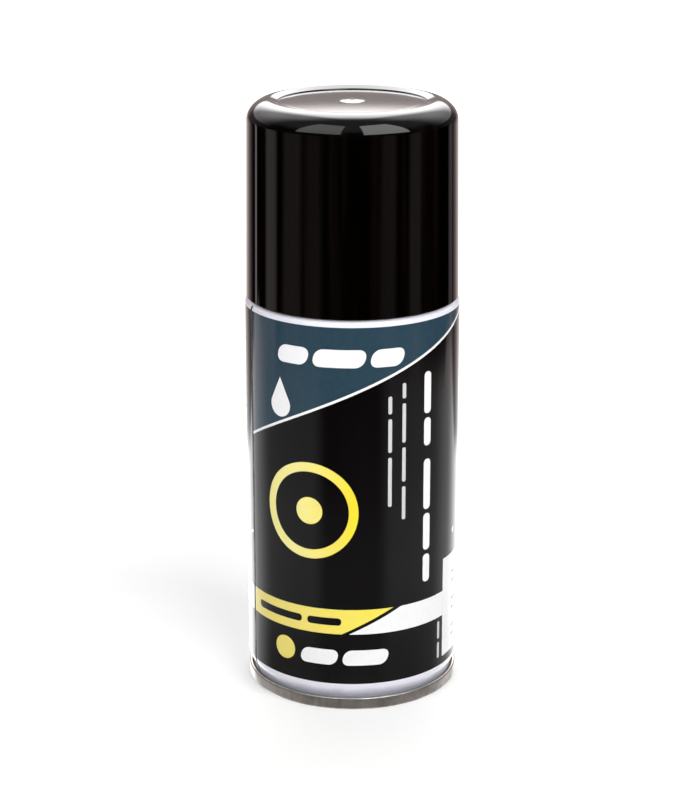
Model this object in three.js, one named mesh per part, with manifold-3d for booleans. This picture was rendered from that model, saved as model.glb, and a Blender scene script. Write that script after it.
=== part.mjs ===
// Lens cleaning spray: a necked-in tinplate aerosol can with its crimped valve, spray button and overcap.
// Millimetres, +Z up. The origin is the centre of the ring that the can stands on, and the label and the
// nozzle face -Y.
import * as THREE from "three";
import { mergeVertices } from "three/addons/utils/BufferGeometryUtils.js";
import Module from "manifold-3d";

const wasm = await Module();
wasm.setup();

// ---- Driving dimensions ----
const SIDES = 28; // facets round every turned piece, so that nested pieces stay parallel
const GAP = 0.06; // clearance left between touching pieces

const BODY_RADIUS = 26.2; // outside of the straight, printed wall
const BODY_PLATE = 0.18; // body sheet
const END_PLATE = 0.24; // bottom end and top cone sheet
const CUP_PLATE = 0.27; // mounting cup sheet

const SEAM_HEIGHT = 3.05; // both double seams
const SEAM_CORNER = 0.22; // rounding of a seam's two edges
const HOOK_START = 0.58; // depth of the body hook's bend below the seam's edge
const BOTTOM_NECK_RADIUS = 25.25; // outside of the body wall where it enters the bottom seam
const BOTTOM_NECK_Z = [3.3, 6.9]; // the wall widens to full radius between these heights
const TOP_SEAM_Z = 104.7; // top edge of the top seam
const SHOULDER_Z = 97.15; // the wall starts to turn in here
const SHOULDER_BEND = 1.5; // radius of both bends of the shoulder
const SHOULDER_TURN = 50; // degrees by which the shoulder leans in
const SHOULDER_REACH = 24.3; // radius where the lean ends and the neck's bend starts

const DOME_EDGE = [24.1, 4.9]; // r, z where the concave bottom meets its wall
const DOME_RISE = 9.6; // height of the bottom's centre

const OPENING_RADIUS = 12.7; // the standard 25.4 mm valve opening
const CURL_RADIUS = 1.4; // centreline radius of the rolled rim round the opening
const CURL_TOP = 114; // top of that rim
const PEDESTAL_RADIUS = 4.9; // centreline of the cup's pedestal
const PEDESTAL_TOP = 116.47; // top of the pedestal's panel
const CUP_FLOOR_Z = 108.3; // centreline of the cup's flat floor

const STEM_RADIUS = 1.98;
const STEM_BORE = 0.9;
const STEM_TOP = 124.6;
const STEM_SHOULDER_RADIUS = 2.8;
const STEM_GASKET_Z = [115.05, 116.12];
const HOUSING_TOP = 115;
const HOUSING_CHAMBER = 3.05;
const HOUSING_FLOOR_Z = 103.9;
const TAIL_RADIUS = 1.65;
const TAIL_Z = [96.5, 103];
const SPRING_WIRE = 0.25;
const SPRING_RADIUS = 2.2;
const SPRING_TURNS = 6;

const TUBE_BORE = 1.72;
const TUBE_RADIUS = 2.35;
const TUBE_TOP = 102.7;
const TUBE_STRAIGHT = 10; // length that stays straight below the valve
const TUBE_SWEEP = 15; // how far the tube's curl takes its end towards the label side

const BUTTON_RADIUS = 8;
const BUTTON_Z = [118, 132];
const NOZZLE_Z = 127;
const NOZZLE_BORE = 1.76; // pocket for the insert
const INSERT_RADIUS = 1.7;
const INSERT_LENGTH = 2.3;

const CAP_BOTTOM = { r: 25.84, z: 98.8 };
const CAP_SHOULDER = { r: 25.29, z: 141.79 }; // where the tapered side turns into the rounded corner
const CAP_CREST = { r: 19.5, z: 146.5 };
const CAP_WALL = 0.95;
const CAP_DISH = { r: 18.3, z: 145.25 }; // foot of the rim on the dished top
const CAP_CENTRE_Z = 145.72;
const CAP_ROOF_Z = 144.2; // underside of the dished top
const CAP_STOP_Z = TOP_SEAM_Z + 0.3; // foot of the ribs that stand over the top seam
const CAP_RIBS = 6;
const SNAP_BEADS = 6;

// ---- Finishes ----
const finish = (color, roughness, metalness) => new THREE.MeshStandardMaterial({ color, roughness, metalness });
const PRINTED = () => finish(0x1c1818, 0.25, 0);
const TINPLATE = () => finish(0x96908a, 0.35, 1);
const RUBBER = () => finish(0x1a1a1a, 0.8, 0);
const SEALANT = () => finish(0xb9b2a0, 0.7, 0);
const NATURAL = () => finish(0xe4e2da, 0.4, 0);
const STEEL = () => finish(0xb4b6b8, 0.25, 1);
const GLOSS_BLACK = () => finish(0x0c0a0a, 0.08, 0);

// ---- Profiles and solids ----
const at = (r, z) => new THREE.Vector2(r, z);

// Points on an arc in the (r, z) half-plane, angles in degrees from the +r direction.
function arc(r, z, radius, from, to, steps) {
  return Array.from({ length: steps + 1 }, (_, i) => {
    const angle = THREE.MathUtils.degToRad(from + ((to - from) * i) / steps);
    return at(r + radius * Math.cos(angle), z + radius * Math.sin(angle));
  });
}

// An S-shaped step between two places, leaving and arriving upright.
function easedStep([r0, z0], [r1, z1], steps) {
  return Array.from({ length: steps + 1 }, (_, i) => {
    const t = i / steps;
    return at(r0 + ((r1 - r0) * (1 - Math.cos(Math.PI * t))) / 2, z0 + (z1 - z0) * t);
  });
}

// A turned solid from a closed profile, or from one that starts and ends on the axis.
function turned(profile) {
  let doubledArea = 0;
  profile.forEach((p, i) => {
    const q = profile[(i + 1) % profile.length];
    doubledArea += p.x * q.y - q.x * p.y;
  });
  const outward = doubledArea > 0 ? profile : [...profile].reverse();
  return new THREE.LatheGeometry(outward, SIDES).rotateX(Math.PI / 2);
}

const ring = (r0, r1, z0, z1) => turned([at(r0, z0), at(r1, z0), at(r1, z1), at(r0, z1), at(r0, z0)]);

// The profile of pressed sheet of even thickness along its centreline. A centreline may end on the axis.
function sheetProfile(centreline, thickness) {
  const side = (sign) =>
    centreline.map((p, i) => {
      const before = i ? p.clone().sub(centreline[i - 1]).normalize() : null;
      const after = i < centreline.length - 1 ? centreline[i + 1].clone().sub(p).normalize() : null;
      const along = (before ?? after).clone().add(after ?? before).normalize();
      const lean = along.dot(after ?? before);
      const reach = (sign * thickness) / 2 / lean;
      const onAxis = p.x === 0;
      return onAxis ? at(0, p.y + reach) : at(p.x - along.y * reach, p.y + along.x * reach);
    });
  const left = side(1);
  const right = side(-1);
  return centreline.at(-1).x === 0
    ? [...left.reverse(), ...right]
    : [...left, ...right.reverse(), left[0].clone()];
}

const pressed = (centreline, thickness) => turned(sheetProfile(centreline, thickness));

function toSolid(geometry) {
  const bare = geometry.clone();
  bare.deleteAttribute("normal");
  bare.deleteAttribute("uv");
  const merged = mergeVertices(bare, 1e-4);
  return new wasm.Manifold(
    new wasm.Mesh({
      numProp: 3,
      vertProperties: merged.attributes.position.array,
      triVerts: new Uint32Array(merged.index.array),
    }),
  );
}

function toGeometry(solid) {
  const { vertProperties, triVerts } = solid.getMesh();
  const geometry = new THREE.BufferGeometry();
  geometry.setAttribute("position", new THREE.BufferAttribute(vertProperties, 3));
  geometry.setIndex(new THREE.BufferAttribute(triVerts, 1));
  geometry.computeVertexNormals();
  return geometry;
}

// A cylinder along Y between two places, for cross holes and bosses.
function crossCylinder(radius, y0, y1, z, sides) {
  return new THREE.CylinderGeometry(radius, radius, Math.abs(y1 - y0), sides).translate(0, (y0 + y1) / 2, z);
}

const part = new THREE.Group();

function addPiece(name, geometry, material) {
  const mesh = new THREE.Mesh(geometry, material);
  mesh.name = name;
  part.add(mesh);
}

// ---- Double seams ----
// Layers from inside to outside: chuck wall, body wall, cover hook, body hook, seaming wall. A seam is drawn
// by depth below its edge, so that both ends of the can share it: the top seam is the bottom one turned over.
function seamAt(wallRadius, edgeZ, inward) {
  const level = (depth) => edgeZ + inward * depth;
  const coverHook = wallRadius + GAP + END_PLATE / 2;
  const bodyHook = wallRadius + 2 * GAP + END_PLATE + BODY_PLATE / 2;
  const seamingWall = wallRadius + 3 * GAP + BODY_PLATE + 1.5 * END_PLATE;
  const chuckWall = wallRadius - BODY_PLATE - GAP - END_PLATE / 2;
  const bodyWall = wallRadius - BODY_PLATE / 2;
  const panel = END_PLATE / 2;
  return {
    chuckWall,
    bodyWall,
    level,
    // From the cover hook's free edge, round the outside, to the top of the chuck wall.
    endPath: [
      at(coverHook, level(HOOK_START + BODY_PLATE + 0.14)),
      at(coverHook, level(SEAM_HEIGHT - panel)),
      at(seamingWall, level(SEAM_HEIGHT - panel)),
      at(seamingWall, level(panel + SEAM_CORNER)),
      at(seamingWall - SEAM_CORNER, level(panel)),
      at(chuckWall + SEAM_CORNER, level(panel)),
      at(chuckWall, level(panel + SEAM_CORNER)),
    ],
    // From the body hook's free edge to the body wall.
    bodyPath: [
      at(bodyHook, level(SEAM_HEIGHT - END_PLATE - 0.25)),
      at(bodyHook, level(HOOK_START + BODY_PLATE / 2)),
      at(bodyWall, level(HOOK_START + BODY_PLATE / 2)),
    ],
    compound: () =>
      ring(bodyWall, bodyHook, level(inward > 0 ? 0.28 : 0.54), level(inward > 0 ? 0.54 : 0.28)),
  };
}

const bottomSeam = seamAt(BOTTOM_NECK_RADIUS, 0, 1);

// The neck ends upright at the radius that the two bends of the shoulder leave.
const shoulderStart = at(BODY_RADIUS - BODY_PLATE / 2 - SHOULDER_BEND, SHOULDER_Z);
const firstBend = arc(shoulderStart.x, shoulderStart.y, SHOULDER_BEND, 0, SHOULDER_TURN, 3);
const lean = THREE.MathUtils.degToRad(SHOULDER_TURN);
const leanEnd = at(
  SHOULDER_REACH,
  firstBend.at(-1).y + (firstBend.at(-1).x - SHOULDER_REACH) / Math.tan(lean),
);
const neckBend = at(
  leanEnd.x + SHOULDER_BEND * Math.cos(lean),
  leanEnd.y + SHOULDER_BEND * Math.sin(lean),
);
const topNeckRadius = neckBend.x - SHOULDER_BEND + BODY_PLATE / 2;
const secondBend = arc(neckBend.x, neckBend.y, SHOULDER_BEND, 180 + SHOULDER_TURN, 180, 3);
const topSeam = seamAt(topNeckRadius, TOP_SEAM_Z, -1);

// ---- Can ----
function canBody() {
  const wall = BODY_RADIUS - BODY_PLATE / 2;
  const [neckZ, fullZ] = BOTTOM_NECK_Z;
  return pressed(
    [
      ...bottomSeam.bodyPath,
      ...easedStep([bottomSeam.bodyWall, neckZ], [wall, fullZ], 4),
      ...firstBend,
      ...secondBend,
      ...topSeam.bodyPath.reverse(),
    ],
    BODY_PLATE,
  );
}

// The bottom domes up into the can, so that pressure pushes it against its seam.
function bottomEnd() {
  const [edgeR, edgeZ] = DOME_EDGE;
  const rise = DOME_RISE - edgeZ;
  const sphere = (edgeR ** 2 + rise ** 2) / (2 * rise);
  const edgeAngle = THREE.MathUtils.radToDeg(Math.acos(edgeR / sphere));
  const dome = arc(0, DOME_RISE - sphere, sphere, edgeAngle, 90, 6);
  dome.at(-1).x = 0;
  return pressed([...bottomSeam.endPath, at(bottomSeam.chuckWall, edgeZ - 1.2), ...dome], END_PLATE);
}

// The cone drops inside the seam to a groove, climbs to the valve opening and ends in a rolled rim.
function topCone() {
  const grooveRadius = 0.9;
  const grooveZ = 101.6;
  const grooveR = topSeam.chuckWall - grooveRadius;
  const curlR = OPENING_RADIUS + END_PLATE / 2 + CURL_RADIUS;
  const curlZ = CURL_TOP - END_PLATE / 2 - CURL_RADIUS;
  return pressed(
    [
      ...topSeam.endPath,
      ...arc(grooveR, grooveZ, grooveRadius, 0, -180, 4),
      at(21, 104),
      at(19.6, 106.8),
      at(17.5, 109.1),
      at(14.8, 110.5),
      ...arc(curlR, curlZ, CURL_RADIUS, 205, -60, 7),
    ],
    END_PLATE,
  );
}

// ---- Valve ----
const CHANNEL = { inner: 12.42, outer: 16.25, bendZ: 112.9, topZ: 115 };

// The cup hangs in the opening: channel over the rolled rim, crimped wall, flat floor and pedestal.
function mountingCup() {
  const middle = (CHANNEL.inner + CHANNEL.outer) / 2;
  const half = (CHANNEL.outer - CHANNEL.inner) / 2;
  const rise = CHANNEL.topZ - CHANNEL.bendZ;
  const channel = arc(0, 0, 1, 0, 180, 6).map((p) => at(middle + half * p.x, CHANNEL.bendZ + rise * p.y));
  const panelZ = PEDESTAL_TOP - CUP_PLATE / 2;
  return pressed(
    [
      at(CHANNEL.outer - 0.1, 111.1),
      ...channel,
      at(CHANNEL.inner, 110.7),
      at(13.1, 109.6),
      at(13.1, 109.1),
      at(12.3, CUP_FLOOR_Z),
      at(5.8, CUP_FLOOR_Z),
      at(4.95, 108.9),
      at(4.5, 110.1),
      at(PEDESTAL_RADIUS, 111.1),
      at(PEDESTAL_RADIUS, panelZ - 0.55),
      at(PEDESTAL_RADIUS - 0.55, panelZ),
      at(2.45, panelZ),
    ],
    CUP_PLATE,
  );
}

const cupGasket = () => ring(13.5, 15.15, CURL_TOP + GAP, CURL_TOP + 0.42);

const stemGasket = () => ring(STEM_RADIUS + GAP, 4.3, ...STEM_GASKET_Z);

// An open-topped chamber for stem and spring, with a barbed tail for the dip tube.
function valveHousing() {
  const [tailEnd, tailRoot] = TAIL_Z;
  return turned([
    at(1, tailEnd),
    at(TAIL_RADIUS - 0.3, tailEnd),
    at(TAIL_RADIUS, tailEnd + 1.2),
    at(TAIL_RADIUS, tailRoot),
    at(3.4, tailRoot),
    at(3.9, tailRoot + 0.6),
    at(3.9, 111.2),
    at(4.5, 111.7),
    at(4.5, HOUSING_TOP),
    at(HOUSING_CHAMBER, HOUSING_TOP),
    at(HOUSING_CHAMBER, HOUSING_FLOOR_Z),
    at(1, HOUSING_FLOOR_Z),
    at(1, tailEnd),
  ]);
}

// A hollow stem. Its side hole sits at the gasket, which shuts it until the stem is pressed down.
function valveStem() {
  const shoulderTop = STEM_GASKET_Z[0] - 0.03;
  const shoulderFoot = shoulderTop - 2.2;
  const stem = turned([
    at(0, shoulderFoot - 3.6),
    at(0.9, shoulderFoot - 3.6),
    at(1.25, shoulderFoot - 3.1),
    at(1.25, shoulderFoot),
    at(STEM_SHOULDER_RADIUS, shoulderFoot),
    at(STEM_SHOULDER_RADIUS, shoulderTop),
    at(STEM_RADIUS, shoulderTop),
    at(STEM_RADIUS, STEM_TOP - 0.3),
    at(STEM_RADIUS - 0.3, STEM_TOP),
    at(STEM_BORE, STEM_TOP),
    at(STEM_BORE, shoulderTop + 0.1),
    at(0, shoulderTop + 0.1),
  ]);
  const orificeZ = (STEM_GASKET_Z[0] + STEM_GASKET_Z[1]) / 2;
  const orifice = crossCylinder(0.25, 0, -STEM_RADIUS - 1, orificeZ, 8);
  return toGeometry(toSolid(stem).subtract(toSolid(orifice)));
}

class Helix extends THREE.Curve {
  constructor(radius, z0, z1, turns) {
    super();
    Object.assign(this, { radius, z0, z1, turns });
  }

  getPoint(t) {
    const angle = 2 * Math.PI * this.turns * t;
    return new THREE.Vector3(
      this.radius * Math.cos(angle),
      this.radius * Math.sin(angle),
      this.z0 + (this.z1 - this.z0) * t,
    );
  }
}

// An upright start, then an even curl towards the label side.
class DipTubePath extends THREE.Curve {
  constructor(topZ, endZ) {
    super();
    Object.assign(this, { topZ, endZ });
  }

  getPoint(t) {
    const drop = (this.topZ - this.endZ) * t;
    const curled = Math.max(0, drop - TUBE_STRAIGHT) / (this.topZ - this.endZ - TUBE_STRAIGHT);
    return new THREE.Vector3(0, -TUBE_SWEEP * curled ** 2, this.topZ - drop);
  }
}

function circle(radius) {
  return new THREE.Shape().absarc(0, 0, radius, 0, 2 * Math.PI, false);
}

const swept = (shape, path, steps, curveSegments) =>
  new THREE.ExtrudeGeometry(shape, { extrudePath: path, steps, curveSegments });

function valveSpring() {
  const foot = HOUSING_FLOOR_Z + SPRING_WIRE + 0.05;
  const head = STEM_GASKET_Z[0] - 0.03 - 2.2 - SPRING_WIRE - 0.05;
  const wire = new Helix(SPRING_RADIUS, foot, head, SPRING_TURNS);
  return swept(circle(SPRING_WIRE), wire, SPRING_TURNS * 10, 3);
}

function dipTube() {
  const section = circle(TUBE_RADIUS);
  section.holes.push(circle(TUBE_BORE));
  return swept(section, new DipTubePath(TUBE_TOP, 9.4), 14, 6);
}

// ---- Spray button ----
function actuator() {
  const [foot, top] = BUTTON_Z;
  const socketTop = STEM_TOP + 0.1;
  const roof = 129.2;
  const shell = turned([
    at(0, NOZZLE_Z + 0.6),
    at(STEM_BORE, NOZZLE_Z + 0.6),
    at(STEM_BORE, socketTop),
    at(STEM_RADIUS + 0.05, socketTop),
    at(STEM_RADIUS + 0.05, foot + 0.7),
    at(STEM_RADIUS + 0.45, foot + 0.3),
    at(3.5, foot + 0.3),
    at(3.6, roof),
    at(BUTTON_RADIUS - 1.3, roof),
    at(BUTTON_RADIUS - 1.1, foot),
    at(BUTTON_RADIUS, foot),
    at(BUTTON_RADIUS - 0.25, top - 1),
    at(BUTTON_RADIUS - 0.6, top - 0.25),
    at(BUTTON_RADIUS - 1.2, top),
    at(5, top - 0.75),
    at(2.6, top - 1.15),
    at(0, top - 1.3),
  ]);
  const face = -BUTTON_RADIUS;
  const boss = crossCylinder(2.7, -2.2, face + 0.7, NOZZLE_Z, 16);
  const channel = crossCylinder(0.7, 0, face, NOZZLE_Z, 8);
  const pocket = crossCylinder(NOZZLE_BORE, face + 3, face - 1, NOZZLE_Z, 16);
  const well = crossCylinder(3, face + 0.65, face - 1, NOZZLE_Z, 16);
  return toGeometry(
    toSolid(shell)
      .add(toSolid(boss))
      .subtract(toSolid(channel))
      .subtract(toSolid(pocket))
      .subtract(toSolid(well)),
  );
}

// A little cup pressed into the button, open behind, with the spray orifice through its face.
function nozzleInsert() {
  const back = -BUTTON_RADIUS + 2.95;
  const front = back - INSERT_LENGTH;
  return new THREE.LatheGeometry(
    [
      at(0.2, front),
      at(0.2, front + 0.5),
      at(0.9, front + 0.9),
      at(0.9, back),
      at(INSERT_RADIUS, back),
      at(INSERT_RADIUS, front + 0.2),
      at(INSERT_RADIUS - 0.2, front),
      at(0.2, front),
    ].reverse(),
    16,
  ).translate(0, 0, NOZZLE_Z);
}

// ---- Overcap ----
// Points on the rounded corner: an ellipse from the side's top to the rim's crest.
function capCorner(inset, steps) {
  const across = CAP_SHOULDER.r - CAP_CREST.r;
  const up = CAP_CREST.z - CAP_SHOULDER.z;
  return arc(0, 0, 1, 0, 90, steps).map((p) =>
    at(CAP_CREST.r + (across - inset) * p.x, CAP_SHOULDER.z + (up - inset) * p.y),
  );
}

function overcap() {
  const taper = (CAP_BOTTOM.r - CAP_SHOULDER.r) / (CAP_SHOULDER.z - CAP_BOTTOM.z);
  const innerRadius = (z) => CAP_BOTTOM.r - CAP_WALL - taper * (z - CAP_BOTTOM.z);
  const shell = turned([
    at(0, CAP_ROOF_Z),
    at(CAP_DISH.r - 1, CAP_ROOF_Z - 0.4),
    ...capCorner(CAP_WALL, 4).reverse().slice(1),
    at(innerRadius(CAP_BOTTOM.z + 0.6), CAP_BOTTOM.z + 0.6),
    at(CAP_BOTTOM.r - 0.5, CAP_BOTTOM.z),
    at(CAP_BOTTOM.r, CAP_BOTTOM.z),
    ...capCorner(0, 6),
    at(CAP_CREST.r - 0.75, CAP_CREST.z - 0.35),
    at(CAP_DISH.r, CAP_DISH.z),
    at(CAP_DISH.r / 2, CAP_CENTRE_Z - 0.12),
    at(2.95, CAP_CENTRE_Z),
    at(2.85, CAP_CENTRE_Z + 0.14),
    at(0.5, CAP_CENTRE_Z + 0.14),
    at(0.4, CAP_CENTRE_Z + 0.3),
    at(0, CAP_CENTRE_Z + 0.3),
  ]);
  let cap = toSolid(shell);

  const ribFoot = innerRadius(CAP_STOP_Z) + 0.3;
  const ribDepth = 1.3;
  const ribTop = CAP_SHOULDER.z + 1;
  for (let i = 0; i < CAP_RIBS; i += 1) {
    const rib = new THREE.BoxGeometry(ribDepth, 0.8, ribTop - CAP_STOP_Z)
      .translate(ribFoot - ribDepth / 2, 0, (ribTop + CAP_STOP_Z) / 2)
      .rotateZ((2 * Math.PI * (i + 0.5)) / CAP_RIBS);
    cap = cap.add(toSolid(rib));
  }

  // Short beads that snap past the top seam and hold the cap down.
  const beadZ = 100.9;
  const beadPeak = topNeckRadius + 3 * GAP + BODY_PLATE + 2 * END_PLATE + 0.1;
  const wallHere = innerRadius(beadZ) + 0.3;
  const beadRing = toSolid(turned([
    at(wallHere, beadZ - 0.6),
    at(wallHere, beadZ + 0.6),
    at(beadPeak, beadZ + 0.15),
    at(beadPeak, beadZ - 0.15),
    at(wallHere, beadZ - 0.6),
  ]));
  for (let i = 0; i < SNAP_BEADS; i += 1) {
    const window = new THREE.BoxGeometry(30, 7, 4)
      .translate(15, 0, beadZ)
      .rotateZ((2 * Math.PI * i) / SNAP_BEADS);
    cap = cap.add(beadRing.intersect(toSolid(window)));
  }
  return toGeometry(cap);
}

addPiece("can_body", canBody(), PRINTED());
addPiece("bottom_end", bottomEnd(), TINPLATE());
addPiece("bottom_seam_compound", bottomSeam.compound(), SEALANT());
addPiece("top_cone", topCone(), TINPLATE());
addPiece("top_seam_compound", topSeam.compound(), SEALANT());
addPiece("mounting_cup", mountingCup(), TINPLATE());
addPiece("cup_gasket", cupGasket(), RUBBER());
addPiece("stem_gasket", stemGasket(), RUBBER());
addPiece("valve_housing", valveHousing(), NATURAL());
addPiece("valve_stem", valveStem(), NATURAL());
addPiece("valve_spring", valveSpring(), STEEL());
addPiece("dip_tube", dipTube(), NATURAL());
addPiece("actuator", actuator(), NATURAL());
addPiece("nozzle_insert", nozzleInsert(), NATURAL());
addPiece("overcap", overcap(), GLOSS_BLACK());

export default part;
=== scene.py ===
"""A lens cleaning spray: the finished look of a printed aerosol can, its valve, button and gloss overcap.

Shapes are drawn in millimetres as (radius, height) profiles or as flat artwork, and turned into metres
when a mesh is made. The label's front is at azimuth 0, which faces -Y; azimuth grows towards +X.
"""

import math
import random

import bmesh
import bpy
from mathutils import Matrix, Vector
from mathutils.geometry import delaunay_2d_cdt

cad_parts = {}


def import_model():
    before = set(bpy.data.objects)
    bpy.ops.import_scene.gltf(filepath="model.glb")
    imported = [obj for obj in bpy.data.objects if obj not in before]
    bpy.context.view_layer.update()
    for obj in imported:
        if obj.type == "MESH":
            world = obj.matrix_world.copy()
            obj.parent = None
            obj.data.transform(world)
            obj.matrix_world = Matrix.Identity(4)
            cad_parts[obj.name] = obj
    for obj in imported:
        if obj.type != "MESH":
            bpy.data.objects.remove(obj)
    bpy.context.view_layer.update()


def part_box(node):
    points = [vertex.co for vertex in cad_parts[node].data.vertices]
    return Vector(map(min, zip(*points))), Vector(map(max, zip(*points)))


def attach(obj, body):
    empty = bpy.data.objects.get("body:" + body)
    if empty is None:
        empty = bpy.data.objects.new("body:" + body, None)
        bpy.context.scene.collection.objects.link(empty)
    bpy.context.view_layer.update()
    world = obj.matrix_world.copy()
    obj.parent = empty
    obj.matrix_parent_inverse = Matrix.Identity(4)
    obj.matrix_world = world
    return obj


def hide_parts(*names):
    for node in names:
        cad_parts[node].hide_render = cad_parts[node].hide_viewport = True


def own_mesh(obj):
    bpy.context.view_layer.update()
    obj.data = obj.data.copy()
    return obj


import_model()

MM = 0.001
SEGMENTS = 144  # round the large turned pieces
SMALL_SEGMENTS = 64  # round the valve's pieces
SHARP_ANGLE = math.radians(38)

# ---- sizes from the frame, in millimetres ----


def top_of(node):
    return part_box(node)[1][2] / MM


def radius_of(node):
    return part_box(node)[1][0] / MM


INK_ROOM = 0.05  # the wall is drawn this much inside the CAD wall, so that the ink stays within its box
BODY_RADIUS = radius_of("can_body") - INK_ROOM
TOP_SEAM_Z = top_of("top_cone") - 9.3  # the rolled rim of the opening stands this far above the top seam
CURL_TOP = top_of("top_cone")
BUTTON_TOP = top_of("actuator")
BUTTON_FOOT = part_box("actuator")[0][2] / MM
BUTTON_RADIUS = radius_of("actuator")
STEM_TOP = top_of("valve_stem")
CAP_FOOT_RADIUS = radius_of("overcap")
CAP_FOOT_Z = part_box("overcap")[0][2] / MM
CAP_TOP_Z = top_of("overcap")
CAP_WALL = 0.95
CAP_SIDE_TOP = (CAP_FOOT_RADIUS - 0.55, CAP_TOP_Z - 4.71)
CAP_CREST_R = 19.8
CAP_DISH = (17.8, CAP_TOP_Z - 0.9)
CAP_CENTRE_Z = CAP_TOP_Z - 0.56
CAP_RIBS = 6  # with a snap bead between each two
CAP_ROUNDNESS = 1.84  # exponent of the corner's curve, where 2 is an ellipse

# ---- sizes of the sheet metal ----
GAP = 0.06
BODY_PLATE = 0.18
END_PLATE = 0.24
CUP_PLATE = 0.27
SEAM_HEIGHT = 3.05
HOOK_START = 0.58
BOTTOM_NECK_RADIUS = 25.25
BOTTOM_NECK = (3.3, 6.9)
SHOULDER_Z = 97.15
SHOULDER_BEND = 1.5
SHOULDER_TURN = 50
SHOULDER_REACH = 24.3


# ---------------------------------------------------------------- profiles


def arc(r, z, radius, start, end, steps):
    """Points on an arc, angles in degrees from the +r direction."""
    turns = [math.radians(start + (end - start) * i / steps) for i in range(steps + 1)]
    return [(r + radius * math.cos(t), z + radius * math.sin(t)) for t in turns]


def eased(start, end, steps):
    """An S-shaped step between two places, leaving and arriving upright."""
    (r0, z0), (r1, z1) = start, end
    shares = [i / steps for i in range(steps + 1)]
    return [(r0 + (r1 - r0) * (1 - math.cos(math.pi * t)) / 2, z0 + (z1 - z0) * t) for t in shares]


def filleted(points, radii, steps=5):
    """The same path with its corners rounded. radii is one number, or a dict of corner number to radius."""
    made = [points[0]]
    for i in range(1, len(points) - 1):
        radius = radii if isinstance(radii, (int, float)) else radii.get(i, 0)
        here = Vector(points[i])
        back = Vector(points[i - 1]) - here
        on = Vector(points[i + 1]) - here
        opening = back.angle(on, math.pi)
        if radius <= 0 or opening > math.pi - 0.02:
            made.append(tuple(here))
            continue
        reach = min(radius / math.tan(opening / 2), 0.49 * back.length, 0.49 * on.length)
        start = here + back.normalized() * reach
        end = here + on.normalized() * reach
        centre_way = (back.normalized() + on.normalized()).normalized()
        true_radius = reach * math.tan(opening / 2)
        centre = here + centre_way * true_radius / math.sin(opening / 2)
        a, b = start - centre, end - centre
        sweep = a.angle_signed(b, 0.0)
        for k in range(steps + 1):
            turn = -sweep * k / steps
            made.append(tuple(centre + Matrix.Rotation(turn, 2) @ a))
    made.append(points[-1])
    return made


def sheet_profile(centreline, thickness):
    """The outline of pressed sheet of even thickness. The first half of the points are its left side."""
    points = [Vector(p) for p in centreline]
    sides = ([], [])
    for i, p in enumerate(points):
        before = (p - points[i - 1]).normalized() if i else None
        after = (points[i + 1] - p).normalized() if i < len(points) - 1 else None
        way = ((before or after) + (after or before)).normalized()
        reach = thickness / 2 / way.dot(after or before)
        for side, sign in zip(sides, (1, -1)):
            if p.x == 0:
                side.append((0.0, p.y + sign * reach))
            else:
                side.append((p.x - sign * way.y * reach, p.y + sign * way.x * reach))
    left, right = sides
    return left[::-1] + right if points[-1].x == 0 else left + right[::-1]


# ---------------------------------------------------------------- meshes


def finish_mesh(name, vertices, faces, materials, indices=None):
    mesh = bpy.data.meshes.new(name)
    mesh.from_pydata([[c * MM for c in v] for v in vertices], [], faces)
    for material in materials:
        mesh.materials.append(material)
    if indices:
        mesh.polygons.foreach_set("material_index", indices)
    tidy = bmesh.new()
    tidy.from_mesh(mesh)
    bmesh.ops.recalc_face_normals(tidy, faces=tidy.faces)
    tidy.to_mesh(mesh)
    tidy.free()
    mesh.shade_smooth()
    mesh.set_sharp_from_angle(angle=SHARP_ANGLE)
    piece = bpy.data.objects.new(name, mesh)
    bpy.context.scene.collection.objects.link(piece)
    return piece


def braced(points, closed):
    """The same outline with a point put in near each end of a long straight, so that it shades as flat."""
    reach = 0.12
    made = []
    for i, here in enumerate(points):
        made.append((*here, i))
        if i == len(points) - 1 and not closed:
            break
        ahead = points[(i + 1) % len(points)]
        length = math.dist(here, ahead)
        if length > 5 * reach:
            for share in (reach / length, 1 - reach / length):
                r, z = (a + (b - a) * share for a, b in zip(here, ahead))
                made.append((r, z, i))
    return made


def turned(name, profile, materials, segments=SEGMENTS, paint=None):
    """A solid of revolution. The profile closes on itself, or starts and ends on the axis.

    paint(i, r, z) gives the material of the band between profile points i and i + 1, met at (r, z)."""
    open_ended = profile[0][0] < 1e-6 and profile[-1][0] < 1e-6
    rings = braced(profile, not open_ended)
    rows = []
    vertices = []
    for r, z, _ in rings:
        count = 1 if r < 1e-6 else segments
        rows.append(range(len(vertices), len(vertices) + count))
        for k in range(count):
            turn = 2 * math.pi * k / segments
            vertices.append((r * math.sin(turn), -r * math.cos(turn), z))
    faces = []
    indices = []
    last = len(rings) - 1 if open_ended else len(rings)
    for i in range(last):
        j = (i + 1) % len(rings)
        low, high = rows[i], rows[j]
        middle = [(a + b) / 2 for a, b in zip(rings[i], rings[j])]
        index = paint(rings[i][2], *middle[:2]) if paint else 0
        for k in range(segments):
            m = (k + 1) % segments
            if len(low) == 1 and len(high) == 1:
                continue
            if len(low) == 1:
                faces.append((low[0], high[m], high[k]))
            elif len(high) == 1:
                faces.append((low[k], low[m], high[0]))
            else:
                faces.append((low[k], low[m], high[m], high[k]))
            indices.append(index)
    return finish_mesh(name, vertices, faces, materials, indices)


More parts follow.
